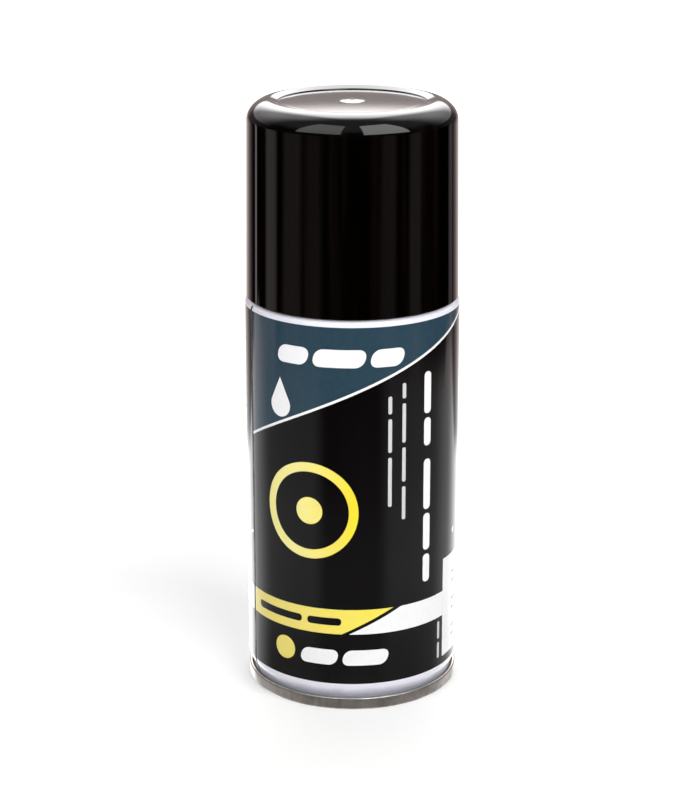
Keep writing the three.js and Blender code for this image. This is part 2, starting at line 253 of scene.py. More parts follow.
def swept(name, path, radius, materials, sides=16, bore=0.0):
    """A round rod along a path of points, or a tube if it has a bore. Both ends are closed."""
    points = [Vector(p) for p in path]
    loops = []
    normal = Vector((1, 0, 0))
    for i, p in enumerate(points):
        ahead = points[min(i + 1, len(points) - 1)] - points[max(i - 1, 0)]
        tangent = ahead.normalized()
        normal = (normal - tangent * normal.dot(tangent)).normalized()
        across = tangent.cross(normal)
        turns = [2 * math.pi * k / sides for k in range(sides)]
        spokes = [normal * math.cos(t) + across * math.sin(t) for t in turns]
        loops.append([[p + spoke * r for spoke in spokes] for r in (radius, bore)])
    vertices = []
    faces = []
    count = len(points)
    walls = (0, 1) if bore else (0,)
    for wall in walls:
        for loop in loops:
            vertices += [tuple(v) for v in loop[wall]]
    for wall in walls:
        base = wall * count * sides
        for i in range(count - 1):
            for k in range(sides):
                m = (k + 1) % sides
                a = base + i * sides
                faces.append((a + k, a + m, a + sides + m, a + sides + k))
    for i in (0, count - 1):
        first = i * sides
        if bore:
            inner = count * sides + first
            for k in range(sides):
                m = (k + 1) % sides
                faces.append((first + k, first + m, inner + m, inner + k))
        else:
            faces.append(tuple(first + k for k in range(sides)))
    return finish_mesh(name, vertices, faces, materials)


def drop_slivers(mesh):
    """Takes out what a cut or join leaves on a straight edge, so that no face has a width of nothing."""
    width = 0.002 * MM
    tidy = bmesh.new()
    tidy.from_mesh(mesh)
    bmesh.ops.remove_doubles(tidy, verts=tidy.verts, dist=width)
    bmesh.ops.dissolve_verts(tidy, verts=[v for v in tidy.verts if len(v.link_edges) == 2])
    bmesh.ops.triangulate(tidy, faces=[f for f in tidy.faces if len(f.verts) > 4])
    bmesh.ops.dissolve_degenerate(tidy, edges=tidy.edges, dist=width)
    tidy.to_mesh(mesh)
    tidy.free()


def combine(piece, others, operation):
    """Joins others to piece, or cuts them from it, and removes them."""
    for other in others:
        modifier = piece.modifiers.new("join", "BOOLEAN")
        modifier.operation = operation
        modifier.solver = "EXACT"
        modifier.object = other
        depsgraph = bpy.context.evaluated_depsgraph_get()
        made = bpy.data.meshes.new_from_object(piece.evaluated_get(depsgraph))
        piece.modifiers.clear()
        old = piece.data
        piece.data = made
        made.name = old.name
        bpy.data.meshes.remove(old)
        bpy.data.objects.remove(other)
    drop_slivers(piece.data)
    piece.data.shade_smooth()
    piece.data.set_sharp_from_angle(angle=SHARP_ANGLE)


def cross_cylinder(radius, y0, y1, z, sides=32, top_radius=None):
    """A tool for cuts and joins: a cylinder along Y."""
    turns = [2 * math.pi * k / sides for k in range(sides)]
    ends = ((y0, radius), (y1, radius if top_radius is None else top_radius))
    vertices = [(r * math.cos(t), y, z + r * math.sin(t)) for y, r in ends for t in turns]
    faces = [(k, (k + 1) % sides, sides + (k + 1) % sides, sides + k) for k in range(sides)]
    faces += [tuple(range(sides)), tuple(range(sides, 2 * sides))]
    return finish_mesh("tool", vertices, faces, [])


def block(length, width, height, centre, turn):
    """A tool for cuts and joins: a box pushed out from the axis and turned about it."""
    spin = Matrix.Rotation(turn, 3, "Z")
    corners = [(x, y, z) for x in (-0.5, 0.5) for y in (-0.5, 0.5) for z in (-0.5, 0.5)]
    vertices = [
        tuple(spin @ Vector((centre[0] + x * length, centre[1] + y * width, centre[2] + z * height)))
        for x, y, z in corners
    ]
    faces = [(0, 1, 3, 2), (4, 6, 7, 5), (0, 4, 5, 1), (2, 3, 7, 6), (0, 2, 6, 4), (1, 5, 7, 3)]
    return finish_mesh("tool", vertices, faces, [])


# ---------------------------------------------------------------- materials


VARNISH_ROUGHNESS = 0.09


class Nodes:
    """Short calls for making and joining the nodes of one tree."""

    def node(self, kind, inputs=None, **settings):
        made = self.tree.nodes.new(kind)
        for key, value in settings.items():
            setattr(made, key, value)
        for key, value in (inputs or {}).items():
            if isinstance(value, bpy.types.NodeSocket):
                self.tree.links.new(value, made.inputs[key])
            else:
                made.inputs[key].default_value = value
        return made

    def maths(self, operation, a, b):
        return self.node("ShaderNodeMath", {0: a, 1: b}, operation=operation).outputs[0]


class Shader(Nodes):
    """A material with a Principled shader and what feeds it."""

    def __init__(self, name, **sockets):
        self.material = bpy.data.materials.new(name)
        self.material.use_nodes = True
        self.tree = self.material.node_tree
        self.shader = self.tree.nodes["Principled BSDF"]
        for socket, value in sockets.items():
            self.shader.inputs[socket.replace("_", " ").title().replace("Ior", "IOR")].default_value = value
        self.place = self.node("ShaderNodeTexCoord").outputs["Object"]

    def scaled(self, x, y, z):
        """Object coordinates in metres, stretched by a scale along each axis."""
        return self.node("ShaderNodeMapping", {"Vector": self.place, "Scale": (x, y, z)}).outputs["Vector"]

    def noise(self, vector, scale, detail=4.0, roughness=0.55):
        inputs = {"Vector": vector, "Scale": scale, "Detail": detail, "Roughness": roughness}
        return self.node("ShaderNodeTexNoise", inputs).outputs["Fac"]

    def ramp(self, value, low, high, to_low, to_high):
        inputs = {"Value": value, "From Min": low, "From Max": high, "To Min": to_low, "To Max": to_high}
        return self.node("ShaderNodeMapRange", inputs).outputs["Result"]

    def mixed(self, factor, first, second):
        made = self.node("ShaderNodeMix", data_type="RGBA")
        self.tree.links.new(factor, made.inputs["Factor"])
        for name, colour in (("A", first), ("B", second)):
            socket = [s for s in made.inputs if s.name == name and s.type == "RGBA"][0]
            if isinstance(colour, bpy.types.NodeSocket):
                self.tree.links.new(colour, socket)
            else:
                socket.default_value = (*colour, 1.0)
        return [s for s in made.outputs if s.type == "RGBA"][0]

    def feed(self, socket, value):
        self.tree.links.new(value, self.shader.inputs[socket])

    def length(self, vector):
        return self.node("ShaderNodeVectorMath", {0: vector}, operation="LENGTH").outputs["Value"]

    def varnish(self):
        """Varnish that is not quite even round the can."""
        cloudy = self.noise(self.scaled(1, 1, 0.35), 60, detail=2)
        gloss = self.ramp(cloudy, 0.3, 0.7, VARNISH_ROUGHNESS - 0.03, VARNISH_ROUGHNESS + 0.04)
        self.feed("Roughness", gloss)

    def bump(self, height, strength, distance):
        inputs = {"Height": height, "Strength": strength, "Distance": distance}
        self.feed("Normal", self.node("ShaderNodeBump", inputs).outputs["Normal"])


def shade(colour, factor):
    return tuple(min(1.0, c * factor) for c in colour)


def ink(name, colour, variation=0.06):
    """Printed and varnished ink with a fine mottle in the colour."""
    s = Shader(name, ior=1.5)
    fine = s.noise(s.scaled(1, 1, 1), 900, detail=3)
    mottle = s.ramp(fine, 0.3, 0.7, 0, 1)
    s.feed("Base Color", s.mixed(mottle, shade(colour, 1 - variation), shade(colour, 1 + variation)))
    s.varnish()
    s.bump(s.noise(s.place, 420, detail=2), 0.05, 0.00004)
    return s.material


def enamel(name, full, neck_shade):
    """White undercoat, with painted shade: where the wall draws in at the foot, the colour is painted greyer
    to stand in for the shade there.
    """
    s = Shader(name, ior=1.5)
    z = s.node("ShaderNodeSeparateXYZ", {"Vector": s.place}).outputs["Z"]
    waver = s.ramp(s.noise(s.place, 260, detail=3), 0.3, 0.7, -0.0002, 0.0002)
    height = s.maths("ADD", z, waver)
    # painted shade: below this height the white is mixed towards a grey shade colour
    unshaded = s.ramp(height, (BOTTOM_NECK[0] + 0.3) * MM, (BOTTOM_NECK[0] + 2.3) * MM, 0, 1)
    s.feed("Base Color", s.mixed(unshaded, neck_shade, full))
    s.varnish()
    return s.material


def graded_ink(name, left, right, x_range):
    """Ink that runs from one colour to another across the label."""
    s = Shader(name, ior=1.5)
    x = s.node("ShaderNodeSeparateXYZ", {"Vector": s.place}).outputs["X"]
    across = s.mixed(s.ramp(x, *x_range, 0, 1), left, right)
    fine = s.ramp(s.noise(s.place, 900, detail=3), 0.3, 0.7, 0, 0.08)
    s.feed("Base Color", s.mixed(fine, across, shade(left, 0.7)))
    s.varnish()
    s.bump(s.noise(s.place, 420, detail=2), 0.05, 0.00004)
    return s.material


def worn_metal(name, bright, dull, roughness, ring_scale=3000):
    """Tinplate: fine rings from the seaming rolls, darker patches and short scuffs."""
    s = Shader(name, metallic=1.0, roughness=roughness)
    rings = s.noise(s.scaled(30, 30, ring_scale), 1, detail=3)
    uprights = s.noise(s.scaled(1, 1, 0.12), 900, detail=3, roughness=0.7)
    patches = s.noise(s.place, 140, detail=5, roughness=0.65)
    tone = s.mixed(s.ramp(patches, 0.38, 0.62, 0, 1), dull, bright)
    scuffed = s.mixed(s.ramp(uprights, 0.55, 0.75, 0, 0.45), tone, shade(dull, 0.55))
    s.feed("Base Color", scuffed)
    s.feed("Roughness", s.ramp(patches, 0.35, 0.65, roughness + 0.12, roughness - 0.06))
    s.bump(rings, 0.25, 0.00002)
    return s.material


def gloss_cap():
    """Black gloss moulding with faint upright flow marks. Its sunk top is satin."""
    s = Shader("cap_black", ior=1.5)
    flow = s.noise(s.scaled(1, 1, 0.02), 330, detail=3, roughness=0.6)
    tone = s.mixed(s.ramp(flow, 0.45, 0.72, 0, 1), (0.0005, 0.0003, 0.0002), (0.0035, 0.0022, 0.0018))
    s.feed("Base Color", tone)
    parts = s.node("ShaderNodeSeparateXYZ", {"Vector": s.place})
    flat = s.node("ShaderNodeCombineXYZ", {"X": parts.outputs["X"], "Y": parts.outputs["Y"]})
    from_axis = s.length(flat.outputs["Vector"])
    gloss = s.ramp(s.noise(s.place, 700, detail=4, roughness=0.7), 0.35, 0.75, 0.035, 0.07)
    satin = s.ramp(from_axis, (CAP_CREST_R - 0.4) * MM, (CAP_CREST_R + 0.6) * MM, 0.045, 0.0)
    s.feed("Roughness", s.maths("ADD", gloss, satin))
    s.bump(s.noise(s.scaled(1, 1, 0.08), 60, detail=2), 0.08, 0.00005)
    return s.material


def moulded(name, colour, roughness, subsurface=0.0, grain=350):
    """Plain moulded plastic with a little grain."""
    s = Shader(name, roughness=roughness, ior=1.48, subsurface_weight=subsurface, subsurface_scale=0.001)
    cloud = s.noise(s.place, 120, detail=3)
    s.feed("Base Color", s.mixed(s.ramp(cloud, 0.3, 0.7, 0, 1), shade(colour, 0.95), shade(colour, 1.04)))
    s.feed("Roughness", s.ramp(s.noise(s.place, 500), 0.3, 0.7, roughness - 0.05, roughness + 0.06))
    s.bump(s.noise(s.place, grain, detail=3), 0.12, 0.00004)
    return s.material


BLACK_INK = ink("ink_black", (0.0026, 0.002, 0.002))
WHITE_INK = ink("ink_white", (0.88, 0.88, 0.89), variation=0.02)
# the second colour is painted shade for the drawn-in foot
ENAMEL = enamel("enamel_white", (0.8, 0.79, 0.87), (0.3, 0.31, 0.36))
TEAL_INK = ink("ink_teal", (0.024, 0.052, 0.076))
BACK_TEAL_INK = ink("ink_back_teal", (0.05, 0.075, 0.1))
GREY_INK = ink("ink_grey", (0.22, 0.22, 0.23))
PALE_INK = ink("ink_pale", (0.6, 0.6, 0.6), variation=0.03)
YELLOW_BAND_INK = graded_ink("ink_yellow_band", (0.88, 0.74, 0.22), (0.9, 0.76, 0.1), (-0.024, 0.004))
YELLOW_RING_INK = graded_ink("ink_yellow_ring", (0.92, 0.84, 0.32), (0.88, 0.72, 0.03), (-0.014, 0.0))
WELD = worn_metal("weld_metal", (0.16, 0.15, 0.14), (0.05, 0.045, 0.045), 0.4)
SEAM_METAL = worn_metal("tinplate_seam", (0.6, 0.56, 0.52), (0.36, 0.33, 0.3), 0.34)
PLAIN_TINPLATE = worn_metal("tinplate_plain", (0.72, 0.71, 0.69), (0.56, 0.55, 0.53), 0.26)
CUP_TINPLATE = worn_metal("tinplate_cup", (0.78, 0.77, 0.74), (0.62, 0.61, 0.59), 0.22)
CAP_BLACK = gloss_cap()
BUTTON_WHITE = moulded("button_white", (0.82, 0.82, 0.8), 0.3, subsurface=0.1)
INSERT_WHITE = moulded("insert_white", (0.66, 0.67, 0.67), 0.35, subsurface=0.05)
NYLON = moulded("nylon_natural", (0.78, 0.76, 0.68), 0.42, subsurface=0.15)
TUBE_PLASTIC = moulded("tube_milky", (0.74, 0.76, 0.76), 0.38, subsurface=0.3)
GASKET_RUBBER = moulded("rubber_black", (0.02, 0.02, 0.02), 0.75, grain=900)
SEALANT = moulded("seam_sealant", (0.5, 0.47, 0.4), 0.6, grain=900)
SPRING_STEEL = worn_metal("spring_steel", (0.62, 0.62, 0.63), (0.5, 0.5, 0.51), 0.25)


def place(piece, body, slot, *nodes):
    """The piece rides on a CAD body and may stand for CAD nodes. slot is not used."""
    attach(piece, body)
    if nodes:
        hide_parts(*nodes)
    return piece


# ---------------------------------------------------------------- the can


class Seam:
    """A double seam, drawn by depth below its edge, so that both ends of the can share it."""

    def __init__(self, wall_radius, edge_z, inward):
        self.level = lambda depth: edge_z + inward * depth
        self.body_wall = wall_radius - BODY_PLATE / 2
        self.chuck_wall = wall_radius - BODY_PLATE - GAP - END_PLATE / 2
        self.cover_hook = wall_radius + GAP + END_PLATE / 2
        self.body_hook = wall_radius + 2 * GAP + END_PLATE + BODY_PLATE / 2
        self.seaming_wall = wall_radius + 3 * GAP + BODY_PLATE + 1.5 * END_PLATE

    def end_path(self):
        panel = END_PLATE / 2
        corners = [
            (self.cover_hook, self.level(HOOK_START + BODY_PLATE + 0.14)),
            (self.cover_hook, self.level(SEAM_HEIGHT - panel)),
            (self.seaming_wall, self.level(SEAM_HEIGHT - panel)),
            (self.seaming_wall, self.level(panel)),
            (self.chuck_wall, self.level(panel)),
            (self.chuck_wall, self.level(SEAM_HEIGHT)),
        ]
        return filleted(corners, {1: 0.22, 2: 0.26, 3: 0.34, 4: 0.34})[:-1]

    def body_path(self):
        bend = self.level(HOOK_START + BODY_PLATE / 2)
        corners = [
            (self.body_hook, self.level(SEAM_HEIGHT - END_PLATE - 0.25)),
            (self.body_hook, bend),
            (self.body_wall, bend),
            (self.body_wall, self.level(SEAM_HEIGHT)),
        ]
        return filleted(corners, {1: 0.14, 2: 0.14}, 3)[:-1]

    def compound(self, name):
        low, high = sorted((self.level(0.28), self.level(0.54)))
        corners = [
            (self.body_wall, low),
            (self.body_hook, low),
            (self.body_hook, high),
            (self.body_wall, high),
        ]
        return turned(name, corners, [SEALANT])


def shoulder():
    """The two bends of the shoulder, and the radius of the neck above them."""
    lean = math.radians(SHOULDER_TURN)
    first = arc(BODY_RADIUS - BODY_PLATE / 2 - SHOULDER_BEND, SHOULDER_Z, SHOULDER_BEND, 0, SHOULDER_TURN, 10)
    r, z = first[-1]
    end_z = z + (r - SHOULDER_REACH) / math.tan(lean)
    centre = (SHOULDER_REACH + SHOULDER_BEND * math.cos(lean), end_z + SHOULDER_BEND * math.sin(lean))
    second = arc(*centre, SHOULDER_BEND, 180 + SHOULDER_TURN, 180, 10)
    return first + second, centre[0] - SHOULDER_BEND + BODY_PLATE / 2


SHOULDER_PATH, TOP_NECK_RADIUS = shoulder()
BOTTOM_SEAM = Seam(BOTTOM_NECK_RADIUS, 0, 1)
TOP_SEAM = Seam(TOP_NECK_RADIUS, TOP_SEAM_Z, -1)
FILM_TOP = 99.2  # the white enamel ends here, under the cap's edge


def wall_path():
    """The centreline of the wall between its two hooks, going up."""
    wall = BODY_RADIUS - BODY_PLATE / 2
    neck, full = BOTTOM_NECK
    return eased((BOTTOM_SEAM.body_wall, neck), (wall, full), 14) + SHOULDER_PATH


def can_body():
    hook_up = BOTTOM_SEAM.body_path()
    middle = wall_path()
    hook_down = TOP_SEAM.body_path()[::-1]
    centreline = hook_up + middle + hook_down
    outline = sheet_profile(centreline, BODY_PLATE)
    count = len(centreline)

    def paint(i, r, z):
        outside = i >= count and len(hook_up) <= 2 * count - 1 - i < count - len(hook_down)
        if not outside:
            return 2
        if BOTTOM_NECK[1] < z < SHOULDER_Z:
            return 0
        return 1 if z < FILM_TOP else 2

    body = turned("can_wall", outline, [BLACK_INK, ENAMEL, PLAIN_TINPLATE], paint=paint)
    place(body, "can", "can_print", "can_body")


def bottom_end():
    edge_r, edge_z, centre_z = 24.1, 4.9, 9.6
    rise = centre_z - edge_z
    sphere = (edge_r**2 + rise**2) / (2 * rise)
    edge_angle = math.degrees(math.acos(edge_r / sphere))
    dome = arc(0, centre_z - sphere, sphere, edge_angle, 90, 24)
    dome[-1] = (0.0, centre_z)
    wall = [(BOTTOM_SEAM.chuck_wall, SEAM_HEIGHT), (BOTTOM_SEAM.chuck_wall, edge_z - 1.2), dome[0], dome[1]]
    path = BOTTOM_SEAM.end_path() + filleted(wall, 1.0)[1:-1] + dome[1:]
    end = turned("bottom_dome", sheet_profile(path, END_PLATE), [SEAM_METAL])
    place(end, "can", "tinplate", "bottom_end")


def top_cone():
    groove = 0.9
    groove_z = TOP_SEAM_Z - 3.1
    curl = 1.4
    curl_r = 12.7 + END_PLATE / 2 + curl
    curl_z = CURL_TOP - END_PLATE / 2 - curl
    flank = [
        (TOP_SEAM.chuck_wall - 2 * groove, groove_z),
        (21, 104),
        (19.6, 106.8),
        (17.5, 109.1),
        (14.8, 110.5),
        (curl_r + curl * math.cos(math.radians(205)), curl_z + curl * math.sin(math.radians(205))),
    ]
    path = TOP_SEAM.end_path()
    path += arc(TOP_SEAM.chuck_wall - groove, groove_z, groove, 0, -180, 14)
    path += filleted(flank, {1: 5, 2: 5, 3: 4, 4: 2.5}, 6)[1:-1]
    path += arc(curl_r, curl_z, curl, 205, -60, 24)
    end = turned("cone", sheet_profile(path, END_PLATE), [PLAIN_TINPLATE])
    place(end, "can", "tinplate", "top_cone")


# ---------------------------------------------------------------- the valve


PEDESTAL_TOP = 116.47


def mounting_cup():
    inner, outer, bend_z, crown_z = 12.42, 16.25, 112.9, 115.0
    middle, half = (inner + outer) / 2, (outer - inner) / 2
    channel = [(middle + half * x, bend_z + (crown_z - bend_z) * y) for x, y in arc(0, 0, 1, 0, 180, 20)]
    panel_z = PEDESTAL_TOP - CUP_PLATE / 2
    well = [
        (inner, bend_z - 0.2),
        (inner, 110.7),
        (13.1, 109.6),
        (13.1, 109.1),
        (12.3, 108.3),
        (5.8, 108.3),
        (4.95, 108.9),
        (4.5, 110.1),
        (4.9, 111.1),
        (4.9, panel_z),
        (2.45, panel_z),
    ]
    radii = {1: 1.2, 2: 0.8, 3: 0.5, 4: 0.7, 5: 0.6, 6: 0.9, 7: 0.8, 8: 0.8, 9: 0.7}
    path = [(outer - 0.1, 111.1)] + channel + filleted(well, radii)
    cup = turned("valve_cup", sheet_profile(path, CUP_PLATE), [CUP_TINPLATE])
    place(cup, "can", "cup_tinplate", "mounting_cup")


def ring(name, r0, r1, z0, z1, material):
    edge = min(r1 - r0, z1 - z0) * 0.25
    corners = [((r0 + r1) / 2, z0), (r1, z0), (r1, z1), (r0, z1), (r0, z0), ((r0 + r1) / 2, z0)]
    return turned(name, filleted(corners, edge, 3)[:-1], [material], SMALL_SEGMENTS)


STEM_RADIUS = 1.98
STEM_BORE = 0.9
GASKET_Z = (115.05, 116.12)
STEM_SHOULDER_TOP = GASKET_Z[0] - 0.03
STEM_SHOULDER_FOOT = STEM_SHOULDER_TOP - 2.2
HOUSING_FLOOR = 103.9
TAIL_END = 96.5
TAIL_ROOT = 103.0


def valve():
    cup_seal = ring("cup_seal", 13.5, 15.15, CURL_TOP + GAP, CURL_TOP + 0.42, GASKET_RUBBER)
    place(cup_seal, "can", "gasket_rubber", "cup_gasket")
    stem_seal = ring("stem_seal", STEM_RADIUS + GAP, 4.3, *GASKET_Z, GASKET_RUBBER)
    place(stem_seal, "can", "gasket_rubber", "stem_gasket")
    chamber = [
        (1.0, TAIL_END + 2),
        (1.0, TAIL_END),
        (1.35, TAIL_END),
        (1.65, TAIL_END + 1.2),
        (1.5, TAIL_END + 1.4),
        (1.65, TAIL_END + 2.6),
        (1.5, TAIL_END + 2.8),
        (1.65, TAIL_END + 4.0),
        (1.65, TAIL_ROOT),
        (3.4, TAIL_ROOT),
        (3.9, TAIL_ROOT + 0.6),
        (3.9, 111.2),
        (4.5, 111.7),
        (4.5, 115.0),
        (3.05, 115.0),
        (3.05, HOUSING_FLOOR),
        (1.0, HOUSING_FLOOR),
        (1.0, TAIL_END + 2),
    ]
    housing = turned("housing", filleted(chamber, 0.12, 3)[:-1], [NYLON], SMALL_SEGMENTS)
    place(housing, "can", "valve_plastic", "valve_housing")

    rod = [
        (0.0, STEM_SHOULDER_FOOT - 3.6),
        (1.25, STEM_SHOULDER_FOOT - 3.6),
        (1.25, STEM_SHOULDER_FOOT),
        (2.8, STEM_SHOULDER_FOOT),
        (2.8, STEM_SHOULDER_TOP),
        (STEM_RADIUS, STEM_SHOULDER_TOP),
        (STEM_RADIUS, STEM_TOP),
        (STEM_BORE, STEM_TOP),
        (STEM_BORE, STEM_SHOULDER_TOP + 0.1),
        (0.0, STEM_SHOULDER_TOP + 0.1),
    ]
    radii = {1: 0.4, 3: 0.15, 4: 0.15, 6: 0.25, 7: 0.1}
    stem = turned("stem", filleted(rod, radii, 4), [NYLON], SMALL_SEGMENTS)
    combine(stem, [cross_cylinder(0.25, 0, -3, sum(GASKET_Z) / 2)], "DIFFERENCE")
    place(stem, "stem", "valve_plastic", "valve_stem")

    wire, coil, turns = 0.25, 2.2, 6
    foot = HOUSING_FLOOR + wire + 0.05
    head = STEM_SHOULDER_FOOT - wire - 0.05
    steps = turns * 30
    helix = []
    for i in range(steps + 1):
        turn = 2 * math.pi * turns * i / steps
        helix.append((coil * math.cos(turn), coil * math.sin(turn), foot + (head - foot) * i / steps))
    spring = swept("spring_coil", helix, wire, [SPRING_STEEL], 12)
    place(spring, "can", "spring_steel", "valve_spring")
    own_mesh(spring)

    top, end, straight, sweep = 102.7, 9.4, 10, 15
    route = []
    for i in range(41):
        drop = (top - end) * i / 40
        curled = max(0, drop - straight) / (top - end - straight)
        route.append((0, -sweep * curled**2, top - drop))
    place(swept("tube", route, 2.35, [TUBE_PLASTIC], 32, bore=1.72), "can", "tube_plastic", "dip_tube")


# ---------------------------------------------------------------- the spray button

NOZZLE_Z = 127.0


def spray_button():
    roof = 129.2
    socket_top = STEM_TOP + 0.1
    outline = [
        (0.0, NOZZLE_Z + 0.6),
        (STEM_BORE, NOZZLE_Z + 0.6),
        (STEM_BORE, socket_top),
        (STEM_RADIUS + 0.05, socket_top),
        (STEM_RADIUS + 0.05, BUTTON_FOOT + 0.7),
        (STEM_RADIUS + 0.45, BUTTON_FOOT + 0.3),
        (3.5, BUTTON_FOOT + 0.3),
        (3.6, roof),
        (BUTTON_RADIUS - 1.3, roof),
        (BUTTON_RADIUS - 1.1, BUTTON_FOOT),
        (BUTTON_RADIUS, BUTTON_FOOT),
        (BUTTON_RADIUS - 0.3, BUTTON_TOP),
        (BUTTON_RADIUS - 1.6, BUTTON_TOP),
        (4.2, BUTTON_TOP - 1.2),
        (0.0, BUTTON_TOP - 1.3),
    ]
    radii = {7: 0.5, 8: 0.5, 9: 0.3, 10: 0.25, 11: 0.9, 12: 1.2, 13: 3.0}
    button = turned("button", filleted(outline, radii, 6), [BUTTON_WHITE], 96)
    face = -BUTTON_RADIUS
    combine(button, [cross_cylinder(2.7, -2.2, face + 0.7, NOZZLE_Z)], "UNION")
    channel = cross_cylinder(0.7, 0, face, NOZZLE_Z)
    pocket = cross_cylinder(1.76, face + 3, face - 1, NOZZLE_Z)
    well = cross_cylinder(2.8, face + 0.65, face - 1, NOZZLE_Z, 48, top_radius=3.6)
    combine(button, [channel, pocket, well], "DIFFERENCE")
    place(button, "button", "button_plastic", "actuator")

    back = face + 2.95
    front = back - 2.3
    cup = [
        (0.2, front + 0.3),
        (0.2, front + 0.5),
        (0.9, front + 0.9),
        (0.9, back),
        (1.7, back),
        (1.7, front),
        (0.7, front),
        (0.2, front + 0.3),
    ]
    insert = turned("spray_insert", filleted(cup, {4: 0.1, 5: 0.2, 6: 0.1}, 3)[:-1], [INSERT_WHITE], 48)
    lie_down = Matrix.Rotation(math.radians(-90), 4, "X")
    insert.data.transform(Matrix.Translation((0, 0, NOZZLE_Z * MM)) @ lie_down)
    place(insert, "button", "insert_plastic", "nozzle_insert")


# ---------------------------------------------------------------- the overcap


def cap_corner(inset, steps):
    """From the side's top to the rim's crest."""
    across = CAP_SIDE_TOP[0] - CAP_CREST_R - inset
    up = CAP_TOP_Z - CAP_SIDE_TOP[1] - inset
    made = []
    for i in range(steps + 1):
        turn = math.pi / 2 * i / steps
        x, y = math.cos(turn) ** (2 / CAP_ROUNDNESS), math.sin(turn) ** (2 / CAP_ROUNDNESS)
        made.append((CAP_CREST_R + across * x, CAP_SIDE_TOP[1] + up * y))
    return made


def cap_inner_radius(z):
    taper = (CAP_FOOT_RADIUS - CAP_SIDE_TOP[0]) / (CAP_SIDE_TOP[1] - CAP_FOOT_Z)
    return CAP_FOOT_RADIUS - CAP_WALL - taper * (z - CAP_FOOT_Z)


def snap_bead(middle):
    """A short ridge inside the cap's wall that snaps past the top seam."""
    z, half_width, steps = 100.9, math.radians(8.2), 8
    wall = cap_inner_radius(z) + 0.3
    peak = TOP_SEAM.seaming_wall + END_PLATE / 2 + 0.1
    section = [(wall, z - 0.6), (peak, z - 0.15), (peak, z + 0.15), (wall, z + 0.6)]
    count = len(section)
    turns = [middle + half_width * (2 * i / steps - 1) for i in range(steps + 1)]
    vertices = [(r * math.cos(t), r * math.sin(t), height) for t in turns for r, height in section]
    faces = [tuple(range(count)), tuple(range(steps * count, (steps + 1) * count))]
    for i in range(steps):
        for k in range(count):
            m = (k + 1) % count
            faces.append((i * count + k, i * count + m, (i + 1) * count + m, (i + 1) * count + k))
    return finish_mesh("tool", vertices, faces, [])


def overcap():
    roof = CAP_TOP_Z - 2.3
    inside = [(0.0, roof), (CAP_DISH[0] - 1, roof - 0.4)] + cap_corner(CAP_WALL, 8)[::-1][1:]
    mouth = [
        (cap_inner_radius(CAP_FOOT_Z + 0.6), CAP_FOOT_Z + 0.6),
        (CAP_FOOT_RADIUS - 0.5, CAP_FOOT_Z),
        (CAP_FOOT_RADIUS, CAP_FOOT_Z),
        CAP_SIDE_TOP,
    ]
    side = filleted(mouth, {1: 0.2, 2: 0.18}, 4)
    rim = [
        (CAP_CREST_R, CAP_TOP_Z),
        (CAP_CREST_R - 0.3, CAP_TOP_Z - 0.03),
        (CAP_DISH[0] + 0.15, CAP_DISH[1] + 0.22),
        (CAP_DISH[0], CAP_DISH[1]),
        (CAP_DISH[0] - 1.5, CAP_DISH[1] + 0.06),
    ]
    dish = []
    for i in range(1, 20):
        r = (CAP_DISH[0] - 1.5) * (1 - i / 20) + 3.05 * i / 20
        dish.append((r, CAP_CENTRE_Z - (CAP_CENTRE_Z - CAP_DISH[1] - 0.02) * (r / CAP_DISH[0]) ** 2))
    gate = [
        (3.05, CAP_CENTRE_Z - 0.02),
        (2.3, CAP_CENTRE_Z + 0.26),
        (0.9, CAP_CENTRE_Z + 0.36),
        (0.5, CAP_CENTRE_Z + 0.36),
        (0.42, CAP_CENTRE_Z + 0.5),
        (0.0, CAP_CENTRE_Z + 0.52),
    ]
    outline = inside + side[:-1] + cap_corner(0, 24)[:-1]
    outline += filleted(rim, {1: 1.5, 2: 0.2, 3: 0.03}, 6) + dish
    outline += filleted(gate, {1: 2.0, 2: 0.5, 4: 0.1}, 3)
    cap = turned("cap", outline, [CAP_BLACK])

    tools = []
    stop_z = TOP_SEAM_Z + 0.3
    rib_top = CAP_SIDE_TOP[1] + 1
    depth = 1.3
    rib_face = cap_inner_radius(stop_z) + 0.3 - depth / 2
    for i in range(CAP_RIBS):
        spacing = 2 * math.pi / CAP_RIBS
        size = (depth, 0.8, rib_top - stop_z)
        tools.append(block(*size, (rib_face, 0, (rib_top + stop_z) / 2), spacing * (i + 0.5)))
        tools.append(snap_bead(spacing * i))
    combine(cap, tools, "UNION")
    place(cap, "cap", "cap_plastic", "overcap")


# ---------------------------------------------------------------- the print

LAYER = 0.014  # height between two films of ink
FILM = 0.012  # thickness of one
STEP = math.radians(2)


def along(degrees):
    """Distance round the wall, in millimetres, from the label's middle."""
    return math.radians(degrees) * BODY_RADIUS


def wall_at(z):
    """The wall's outside radius and outward normal at a height."""
    neck, full = BOTTOM_NECK
    neck_radius = BOTTOM_SEAM.body_wall
    wall = BODY_RADIUS - BODY_PLATE / 2
    if z < full:
        t = (z - neck) / (full - neck)
        r = neck_radius + (wall - neck_radius) * (1 - math.cos(math.pi * t)) / 2
        slope = (wall - neck_radius) * math.pi / 2 * math.sin(math.pi * t) / (full - neck)
        out, up = 1 / math.hypot(1, slope), -slope / math.hypot(1, slope)
        return r + BODY_PLATE / 2 * out, out, up
    if z > SHOULDER_Z:
        lean = math.asin(min(1, (z - SHOULDER_Z) / (SHOULDER_BEND + BODY_PLATE / 2)))
        centre = wall - SHOULDER_BEND
        return centre + (SHOULDER_BEND + BODY_PLATE / 2) * math.cos(lean), math.cos(lean), math.sin(lean)
    return BODY_RADIUS, 1.0, 0.0


